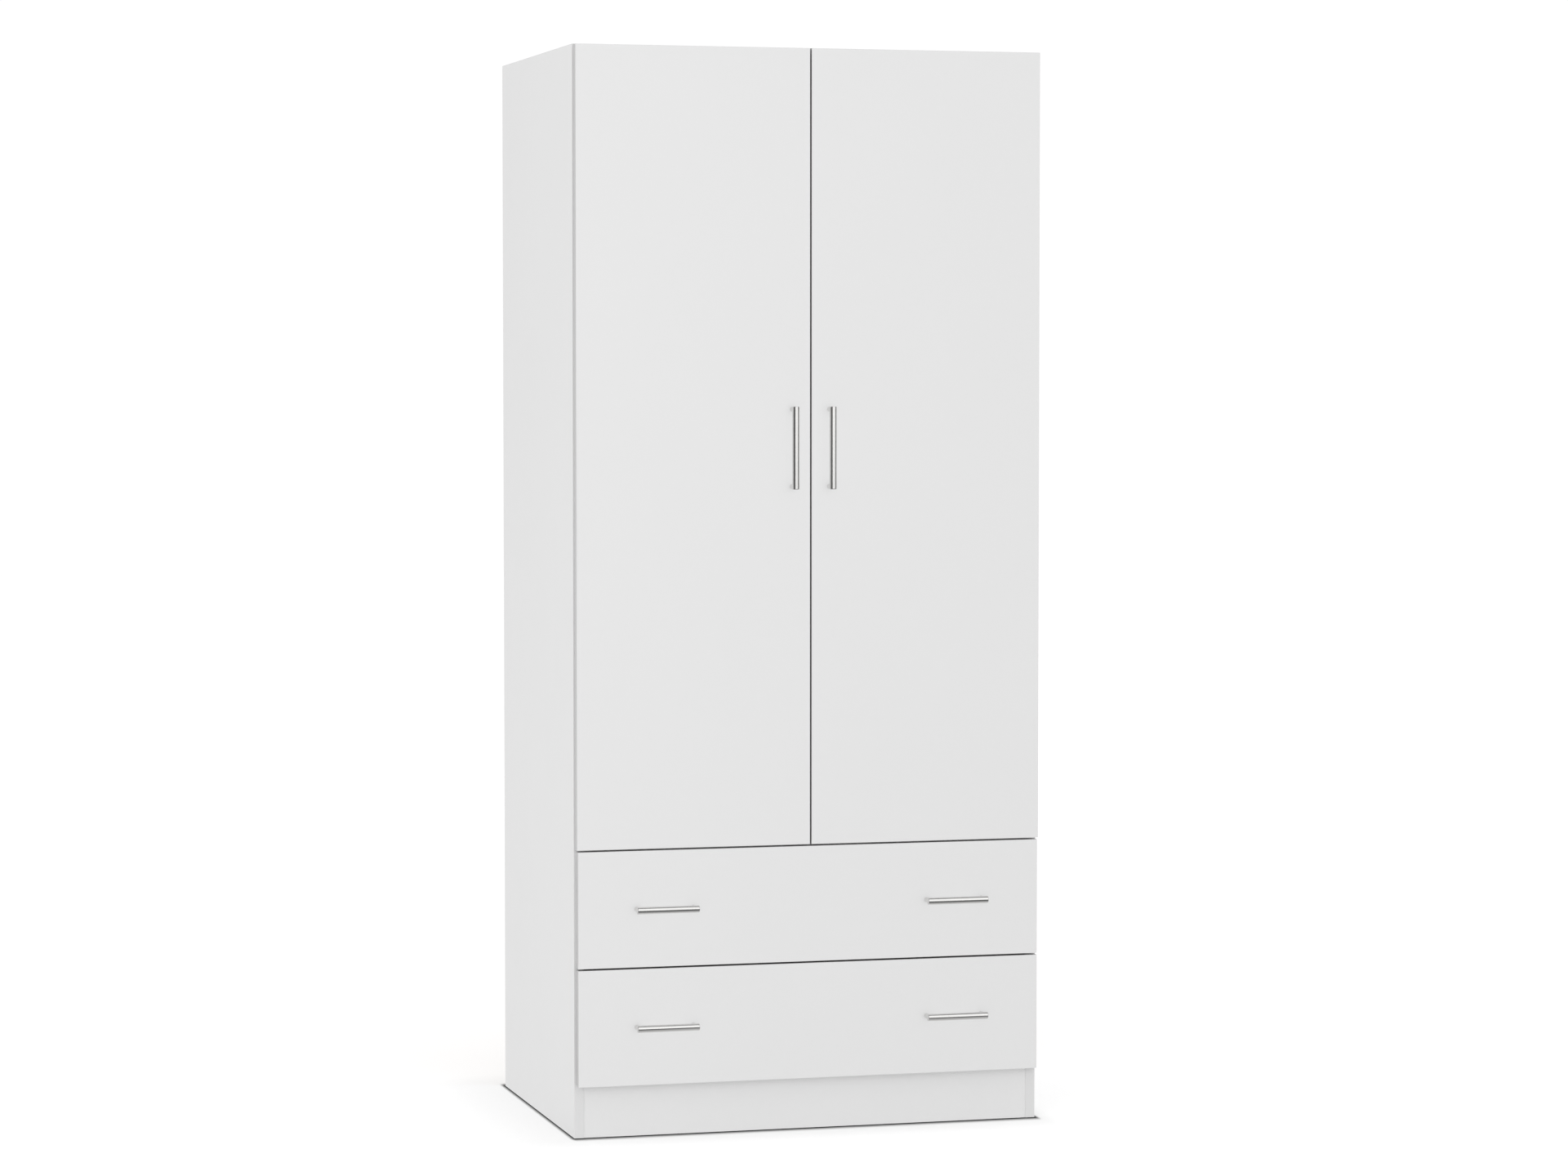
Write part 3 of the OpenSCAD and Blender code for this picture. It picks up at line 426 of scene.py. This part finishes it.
def boardFinish(name, low, high, skin, rawSides, pearl, bandTone):
    # white melamine wherever a point lies within the skin's thickness of a covered side, bare
    # chipboard in every hole, groove and uncovered edge, and a hairline where the edge band meets
    # the face; the seam is where the second nearest side is the band's thickness away
    # the edge bands take a darker tone than the face, as painted shade for the gaps between parts
    material, r = newRecipe(name)
    place = r.coordinates()
    nearest, *others = depthsIn(r, place, low, high, rawSides)
    second = 1.0
    for depth in others:
        second = nearest.most(depth).least(second)
        nearest = nearest.least(depth)
    bare = nearest.ramp(white["skinThickness"], white["skinThickness"] * 1.15)
    seam = 0.0
    if others:
        half = white["seamWidth"] / 2
        seam = second.ramp(white["bandThickness"] - half * 2, white["bandThickness"] - half)
        seam = seam * (1.0 - second.ramp(white["bandThickness"] + half,
                                         white["bandThickness"] + half * 2))
    cloud = r.noise(place, white["cloudSize"], 3.0)
    fine = r.noise(place, white["fineSize"], 3.0, 0.6)
    tint = ((cloud - 0.5) * 0.5 + (fine - 0.5) * 0.5 + 0.5).ramp(0.0, 1.0)
    face = r.blend(tint, scaled(skin, white["duller"]), scaled(skin, white["brighter"]))
    seamed = r.blend(seam, face, scaled(skin, white["seamShade"]))
    thin = min(range(3), key=lambda i: high[i] - low[i])
    across = r.split(place)[thin]
    bandShadeMask = (across - low[thin]).least(high[thin] - across).ramp(*white["bandEdge"])
    # painted shade: the edge band takes its darker tone, standing for the shade in the gaps
    skinned = r.blend(bandShadeMask, seamed, scaled(skin, bandTone))
    wood, relief = chipColours(r, place)
    colour = r.blend(bare, skinned, wood)
    touch = r.noise(place, white["touchSize"], 4.0, 0.6)
    sheen = white["sheen"] + (touch - 0.5) * white["touchSheen"] + (fine - 0.5) * white["fineSheen"]
    sheen = sheen + seam * white["seamSheen"]
    roughness = sheen * (1.0 - bare) + bare * chipboard["dullness"]
    peel = r.noise(place, white["pearlSize"], 2.0, 0.6)
    wave = r.noise(place, white["rippleSize"], 1.0)
    skinHeight = peel * pearl + wave * white["ripple"] - seam * white["seamDepth"]
    height = skinHeight * (1.0 - bare) + relief * chipboard["relief"] * bare
    finishSurface(r, colour, roughness, r.bump(height / mm, 1.0 * mm), IOR=1.46)
    return material


def thinBoardFinish(name, low, high, axis, printedLow):
    # white print on one face, bare brown fibreboard on the other face and the edges
    material, r = newRecipe(name)
    place = r.coordinates()
    along = r.split(place)[axis]
    inward = along - low[axis] if printedLow else high[axis] - along
    bare = inward.ramp(hardboard["printThickness"], hardboard["printThickness"] * 1.2)
    fibre = r.noise(place, hardboard["fibreSize"], 6.0, 0.75)
    blotch = r.noise(place, hardboard["blotchSize"], 4.0, 0.6)
    brown = r.blend((fibre * 0.7 + blotch * 0.3).ramp(0.25, 0.75), hardboard["darkBrown"],
                    hardboard["brown"])
    speck = r.noise(place, hardboard["speckSize"], 3.0, 0.6)
    printed = r.blend(speck, scaled(hardboard["print"], 0.975), scaled(hardboard["print"], 1.01))
    printSheen = hardboard["printSheen"] + (speck - 0.5) * 0.12
    brownSheen = hardboard["brownSheen"] + (fibre - 0.5) * 0.1
    roughness = printSheen * (1.0 - bare) + brownSheen * bare
    relief = speck * (hardboard["printRelief"] / mm) * (1.0 - bare)
    relief = relief + fibre * (hardboard["fibreRelief"] / mm) * bare
    finishSurface(r, r.blend(bare, printed, brown), roughness, r.bump(relief, 1.0 * mm), IOR=1.45)
    return material


def metalFinish(name, tint, sheen, grain, grainDepth, mottle=0.06, streaks=None):
    # plated metal: a fine grain, drawn out along the surface where the metal is brushed, with slow
    # clouds of duller and brighter plate
    material, r = newRecipe(name)
    place = r.uv() if streaks else r.coordinates()
    lines = r.noise(r.stretched(place, streaks) if streaks else place, grain, 3.0, 0.65)
    cloud = r.noise(place, 35.0, 3.0)
    shade = (lines * 0.6 + cloud * 0.4).ramp(0.25, 0.75)
    colour = r.blend(shade, scaled(tint, 1 - mottle), scaled(tint, 1 + mottle))
    roughness = sheen + (lines - 0.5) * sheen * 0.5 + (cloud - 0.5) * sheen * 0.3
    finishSurface(r, colour, roughness, r.bump(lines, grainDepth), Metallic=1.0)
    return material


def plasticFinish(name, tint, sheen, grain, grainDepth, **constants):
    # moulded plastic: fine spark-eroded grain under a waxy, slightly uneven gloss
    material, r = newRecipe(name)
    place = r.coordinates()
    fine = r.noise(place, grain, 3.0, 0.6)
    flow = r.noise(place, 30.0, 3.0)
    colour = r.blend((fine * 0.3 + flow * 0.7).ramp(0.2, 0.8), scaled(tint, 0.965),
                     scaled(tint, 1.02))
    roughness = sheen + (flow - 0.5) * 0.12 + (fine - 0.5) * 0.06
    finishSurface(r, colour, roughness, r.bump(fine, grainDepth), **constants)
    return material


beech = {
    "light": (0.66, 0.48, 0.30),
    "dark": (0.42, 0.27, 0.15),
    "grain": (40.0, 700.0, 700.0),
    "fleck": (250.0, 1800.0, 1800.0),
    "sheen": 0.62,
    "relief": 0.08 * mm,
}


def beechFinish(name):
    # raw beech turned along X: long grain with short dark flecks
    material, r = newRecipe(name)
    place = r.coordinates()
    grain = r.noise(r.stretched(place, beech["grain"]), 1.0, 4.0, 0.6)
    fleck = r.cells(r.stretched(place, beech["fleck"]), 1.0)
    colour = r.blend((grain * 0.7 + fleck * 0.3).ramp(0.2, 0.8), beech["dark"], beech["light"])
    finishSurface(r, colour, beech["sheen"] + (grain - 0.5) * 0.2, r.bump(grain, beech["relief"]),
                  IOR=1.45)
    return material


metals = {        # tint, sheen, grain, grain depth, how mottled, brushing along and round the piece
    "satin_nickel": metalFinish("satinNickel", (0.74, 0.735, 0.725), 0.13, 1.0, 0.004 * mm,
                                0.035, streaks=(14.0, 5200.0, 1.0)),
    "chrome_tube": metalFinish("chromeTube", (0.80, 0.805, 0.81), 0.09, 1.0, 0.004 * mm, 0.03,
                               streaks=(25.0, 2200.0, 1.0)),
    "nickel_steel": metalFinish("nickelSteel", (0.62, 0.615, 0.60), 0.24, 1200.0, 0.02 * mm),
    "zinc_casting": metalFinish("zincCasting", (0.55, 0.555, 0.565), 0.42, 900.0, 0.05 * mm, 0.10),
    "zinc_steel": metalFinish("zincSteel", (0.64, 0.65, 0.67), 0.28, 1500.0, 0.02 * mm, 0.08),
}
others = {
    "white_plastic": plasticFinish("whiteStrip", (0.76, 0.76, 0.755), 0.42, 700.0, 0.02 * mm),
    "runner_plastic": plasticFinish("runnerNylon", (0.74, 0.735, 0.72), 0.38, 500.0, 0.03 * mm),
    "beech": beechFinish("rawBeech"),
    "clear_buffer": plasticFinish("softBuffer", (0.80, 0.81, 0.80), 0.20, 400.0, 0.02 * mm,
                                  **{"Transmission Weight": 0.15, "IOR": 1.49}),
}
whiteOf = {"white_front": "frontWhite", "white_board": "boardWhite", "drawer_board": "drawerWhite"}
rawSidesOf = {        # the sides of each board that carry no edge band
    "left_side_panel": ("+y", "-z"), "right_side_panel": ("+y", "-z"),
    "top_panel": ("-x", "+x", "+y"), "base_panel": ("-x", "+x", "+y"),
    "divider_shelf": ("-x", "+x", "+y"), "hat_shelf": ("-x", "+x", "+y"),
    "plinth_front": ("-x", "+x", "-z", "+z"), "plinth_back": ("-x", "+x", "-z", "+z"),
    "left_side": ("-y", "+y", "-z"), "right_side": ("-y", "+y", "-z"), "back": ("-x", "+x", "-z"),
}


def finishFor(node):
    # the material for one CAD piece, from its slot in the record; the two drawers' boards share
    # the list of raw sides that is kept under the last words of their names
    slot = slotOf[node]
    low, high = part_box(node)
    if slot in whiteOf:
        rawSides = rawSidesOf.get(node.replace("upper_drawer_", "").replace("lower_drawer_", ""), ())
        isFront = slot == "white_front"
        return boardFinish(node + "Skin", low, high, white[whiteOf[slot]], rawSides,
                           white["pearl"] * (white["frontPearl"] if isFront else 1.0),
                           white["frontBand" if isFront else "boardBand"])
    if slot == "thin_board":
        upright = node.startswith("back_board")
        return thinBoardFinish(node + "Sheet", low, high, 1 if upright else 2, upright)
    return metals.get(slot) or others[slot]


easing = {        # radius of the eased edge, and the steps it is cut in
    "white_front": (0.45 * mm, 2), "white_board": (0.5 * mm, 3), "drawer_board": (0.5 * mm, 2),
    "thin_board": (0.25 * mm, 1), "white_plastic": (0.25 * mm, 2), "runner_plastic": (0.6 * mm, 2),
    "nickel_steel": (0.15 * mm, 2), "zinc_casting": (0.2 * mm, 2), "zinc_steel": (0.12 * mm, 1),
    "beech": (0.2 * mm, 1),
}
joining = {
    "reach": 0.002 * mm,         # corners closer than this are one
    "flatAngle": 0.5,            # degrees, below which two faces are one
    "edgeAngle": 40.0,           # degrees, above which an edge is eased
}


def easeEdges(node):
    # joins the loose triangles, clears the flat faces' inner lines, then rounds every sharp edge
    radius, steps = easing[slotOf[node]]
    piece = nodes[node]
    weld = piece.modifiers.new("joined", "WELD")
    weld.merge_threshold = joining["reach"]
    flat = piece.modifiers.new("flat", "DECIMATE")
    flat.decimate_type = "DISSOLVE"
    flat.angle_limit = math.radians(joining["flatAngle"])
    bevel = piece.modifiers.new("eased", "BEVEL")
    bevel.width = radius
    bevel.segments = steps
    bevel.limit_method = "ANGLE"
    bevel.angle_limit = math.radians(joining["edgeAngle"])
    bevel.harden_normals = False


def skinOver(rings, wrapEnds=False, ends=None):
    # quads between neighbouring rings of points, closed round each ring; the rings either wrap
    # back to the first, or end in a fan to one middle point at each end. The map runs in metres
    # along the rings and round the widest one. The skin is turned face outwards by the sign of
    # its volume, the sum of a . (b x c) over its triangles
    count, around = rings.shape[:2]
    points = rings.reshape(-1, 3)
    i, j = np.meshgrid(np.arange(count if wrapEnds else count - 1), np.arange(around),
                       indexing="ij")
    nextI, nextJ = (i + 1) % count, (j + 1) % around
    quads = np.stack([i * around + j, i * around + nextJ, nextI * around + nextJ,
                      nextI * around + j], -1).reshape(-1, 4)
    stepsAlong = np.linalg.norm(np.diff(rings[:, 0], axis=0, append=rings[:1, 0]), axis=1)
    along = np.concatenate([[0.0], np.cumsum(stepsAlong)])
    widest = rings[np.argmax(np.linalg.norm(rings - rings.mean(1, keepdims=True), axis=2).max(1))]
    stepsRound = np.linalg.norm(np.diff(widest, axis=0, append=widest[:1]), axis=1)
    aroundWay = np.concatenate([[0.0], np.cumsum(stepsRound)])
    quadMap = np.stack([np.stack([along[i], aroundWay[j]], -1),
                        np.stack([along[i], aroundWay[j + 1]], -1),
                        np.stack([along[i + 1], aroundWay[j + 1]], -1),
                        np.stack([along[i + 1], aroundWay[j]], -1)], 2).reshape(-1, 4, 2)
    triangles, triangleMap = np.zeros((0, 3), int), np.zeros((0, 3, 2))
    if ends is not None:
        points = np.vstack([points, ends])
        step = np.arange(around)
        nextStep = (step + 1) % around
        last = (count - 1) * around
        triangles = np.vstack([
            np.stack([np.full(around, len(points) - 2), nextStep, step], -1),
            np.stack([np.full(around, len(points) - 1), last + step, last + nextStep], -1)])
        aside = np.stack([aroundWay[:-1], aroundWay[1:], aroundWay[:-1]], -1)
        triangleMap = np.vstack([np.stack([np.full((around, 3), place), aside], -1)
                                 for place in (along[0], along[count - 1])])
    halves = np.vstack([quads[:, [0, 1, 2]], quads[:, [0, 2, 3]], triangles])
    a, b, c = (points[halves[:, corner]] for corner in range(3))
    turn = -1 if np.einsum("ij,ij->i", a, np.cross(b, c)).sum() < 0 else 1
    return {"points": points, "quads": quads[:, ::turn], "triangles": triangles[:, ::turn],
            "quadMap": quadMap[:, ::turn], "triangleMap": triangleMap[:, ::turn]}


def joinSkins(skins):
    # several closed skins in one: the faces' numbers go up by the points that come before
    starts = np.cumsum([0] + [len(skin["points"]) for skin in skins[:-1]])
    joined = {key: np.vstack([skin[key] + start for skin, start in zip(skins, starts)])
              for key in ("quads", "triangles")}
    joined.update({key: np.vstack([skin[key] for skin in skins])
                   for key in ("points", "quadMap", "triangleMap")})
    return joined


def putPiece(name, skin, node, material):
    # a smooth mesh from a skin, which takes the CAD node's place and body and wears the material
    # given
    faces = skin["quads"].tolist() + skin["triangles"].tolist()
    mesh = bpy.data.meshes.new(name)
    mesh.from_pydata(skin["points"].tolist(), [], faces)
    layer = mesh.uv_layers.new(name="drawn")
    layer.data.foreach_set("uv", np.concatenate([skin["quadMap"].ravel(),
                                                 skin["triangleMap"].ravel()]))
    mesh.polygons.foreach_set("use_smooth", np.full(len(faces), True))
    mesh.update()
    mesh.materials.append(material)
    piece = bpy.data.objects.new(name, mesh)
    scene.collection.objects.link(piece)
    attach(piece, bodyOf[node])
    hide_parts(node)
    return piece


handle = {
    "barRadius": 6.0 * mm,
    "endEdge": 0.8 * mm,
    "endSteps": 6,
    "barAround": 64,
    "legRadius": 4.4 * mm,
    "legInset": 4.5 * mm,        # from the bar's end to the leg's middle
    "legAround": 40,
    "footEdge": 0.35 * mm,
    "sunk": 0.15 * mm,           # how far the leg's top stands inside the bar
    "flatRings": (0.6, 0.97),    # rings on a flat end, as parts of its radius
    "topRings": (1.0, 0.95, 0.5),    # rings on the leg's top, as parts of the leg's radius
    "barHold": 1.3,              # a ring this many edges along keeps the bar's side straight
    "legHold": 1.5,
    "rimHold": 0.5 * mm,         # the same below the leg's upper rim
}


def turnedRod(start, way, across, other, length, radius, edge):
    # a rod about the line from start along way: a profile of (distance, radius) is carried round a
    # circle. Its end is a flat middle, a quarter circle of the edge's radius, then the side
    angle = np.linspace(0.0, math.pi / 2, handle["endSteps"])
    arc = np.stack([edge - edge * np.cos(angle), radius - edge + edge * np.sin(angle)], -1)
    flat = [[0.0, (radius - edge) * part] for part in handle["flatRings"]]
    near = np.vstack([flat, arc, [[edge * handle["barHold"], radius]]])
    profile = np.vstack([near, near[::-1] * [-1.0, 1.0] + [length, 0.0]])
    angle = np.linspace(0.0, 2 * math.pi, handle["barAround"], endpoint=False)
    circle = np.cos(angle)[:, None] * across + np.sin(angle)[:, None] * other
    rings = start + profile[:, 0, None, None] * way + profile[:, 1, None, None] * circle[None]
    return skinOver(rings, ends=np.array([start, start + length * way]))


def legSkin(foot, way, along, across, barLine):
    # a round leg from the front to the bar: its upper rim is cut to the bar's curve, so the height
    # at each angle is the bar's middle less the root of barRadius squared minus offset squared
    around, radius, edge = handle["legAround"], handle["legRadius"], handle["footEdge"]
    angle = np.linspace(0.0, 2 * math.pi, around, endpoint=False)
    circle = np.cos(angle)[:, None] * along + np.sin(angle)[:, None] * across

    def saddle(r):
        reach = barLine - np.sqrt(handle["barRadius"] ** 2 - (r * np.sin(angle)) ** 2)
        return reach + handle["sunk"]
    level = np.ones(around)
    rows = [(level * 0.0, (radius - edge) * handle["flatRings"][0]), (level * 0.0, radius - edge),
            (level * edge, radius), (level * edge * handle["legHold"], radius),
            (saddle(radius) - handle["rimHold"], radius)]
    rows += [(saddle(radius * part), radius * part) for part in handle["topRings"]]
    rings = np.stack([foot + height[:, None] * way + r * circle for height, r in rows])
    top = foot + (barLine - handle["barRadius"] + handle["sunk"]) * way
    return skinOver(rings, ends=np.array([foot, top]))


def makeHandle(node):
    # a round bar along the longer way of the CAD handle, on two legs
    low, high = (np.array(v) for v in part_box(node))
    size = high - low
    x, z, out = np.array([1.0, 0.0, 0.0]), np.array([0.0, 0.0, 1.0]), np.array([0.0, -1.0, 0.0])
    along, across = (x, z) if size[0] > size[2] else (z, x)
    length = size @ along
    barLine = size[1] - handle["barRadius"]
    foot = (low + high) / 2 - size[1] / 2 * out
    skins = [turnedRod(foot + barLine * out - along * length / 2, along, across, out, length,
                       handle["barRadius"], handle["endEdge"])]
    for side in (-1, 1):
        skins.append(legSkin(foot + side * along * (length / 2 - handle["legInset"]), out, along,
                             across, barLine))
    piece = putPiece(node.replace("_handle", "_bar_handle"), joinSkins(skins), node,
                     metals["satin_nickel"])
    piece.visible_diffuse = piece.visible_shadow = False    # the handles cast no shadow and block no light on the white fronts


rail = {"wall": 1.0 * mm, "lip": 0.3 * mm, "around": 32}


def stadium(halfHeight, radius, count):
    # points round a flat-sided oval: two half circles joined by straight sides, as (y, z)
    angle = np.linspace(0.0, 2 * math.pi, count, endpoint=False) + math.pi / count
    shift = (halfHeight - radius) * np.sign(np.sin(angle))
    return np.stack([radius * np.cos(angle), radius * np.sin(angle) + shift], -1)


def makeRail(node):
    # an oval tube: the outer oval carried along X, turned in over a small lip at each end, and the
    # inner oval carried back
    low, high = (np.array(v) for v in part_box(node))
    middle = (low + high) / 2
    halfHeight, radius = (high[2] - low[2]) / 2, (high[1] - low[1]) / 2
    wall, lip, count = rail["wall"], rail["lip"], rail["around"]
    stations = [(low[0] + lip, 0.0), (low[0] + 3 * lip, 0.0), (high[0] - 3 * lip, 0.0),
                (high[0] - lip, 0.0), (high[0], lip), (high[0], wall - lip), (high[0] - lip, wall),
                (high[0] - 3 * lip, wall), (low[0] + 3 * lip, wall), (low[0] + lip, wall),
                (low[0], wall - lip), (low[0], lip)]
    rings = []
    for x, inward in stations:
        oval = stadium(halfHeight - inward, radius - inward, count)
        rings.append(np.column_stack([np.full(count, x), middle[1] + oval[:, 0],
                                      middle[2] + oval[:, 1]]))
    putPiece("oval_rail", skinOver(np.stack(rings), wrapEnds=True), node, metals["chrome_tube"])


bumper = {"radius": 3.0 * mm, "skirt": 0.3, "steps": 10, "around": 28, "topAngle": 0.94,
          "fullness": 0.7}


def makeBumpers(node):
    # four soft domes: the radius falls with the cosine of the angle and the height grows with its
    # sine, from a short straight skirt
    low, high = (np.array(v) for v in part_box(node))
    radius, height = bumper["radius"], high[1] - low[1]
    skirt = height * bumper["skirt"]
    rise = np.linspace(0.0, math.pi / 2 * bumper["topAngle"], bumper["steps"])
    profile = np.vstack([[[0.0, radius * 0.6], [0.0, radius]],
                         np.stack([skirt + (height - skirt) * np.sin(rise),
                                   radius * np.cos(rise) ** bumper["fullness"]], -1)])
    angle = np.linspace(0.0, 2 * math.pi, bumper["around"], endpoint=False)
    circle = np.stack([np.cos(angle), np.zeros_like(angle), np.sin(angle)], -1)
    out = np.array([0.0, -1.0, 0.0])
    domes = []
    for x in (low[0] + radius, high[0] - radius):
        for z in (low[2] + radius, high[2] - radius):
            seat = np.array([x, high[1], z])
            rings = seat + profile[:, 0, None, None] * out + profile[:, 1, None, None] * circle
            domes.append(skinOver(rings, ends=np.array([seat, seat + height * out])))
    putPiece("soft_bumpers", joinSkins(domes), node, others["clear_buffer"])


makerOf = {node: makeHandle for node in nodes if node.endswith("handle")}
makerOf.update({"hanging_rail": makeRail, "door_bumpers": makeBumpers})
for node, maker in makerOf.items():
    maker(node)
print("handles, rail and bumpers made")

for node, piece in nodes.items():
    if node not in makerOf:
        piece.data.materials.clear()
        piece.data.materials.append(finishFor(node))
        easeEdges(node)
print("finishes and eased edges on the CAD pieces")
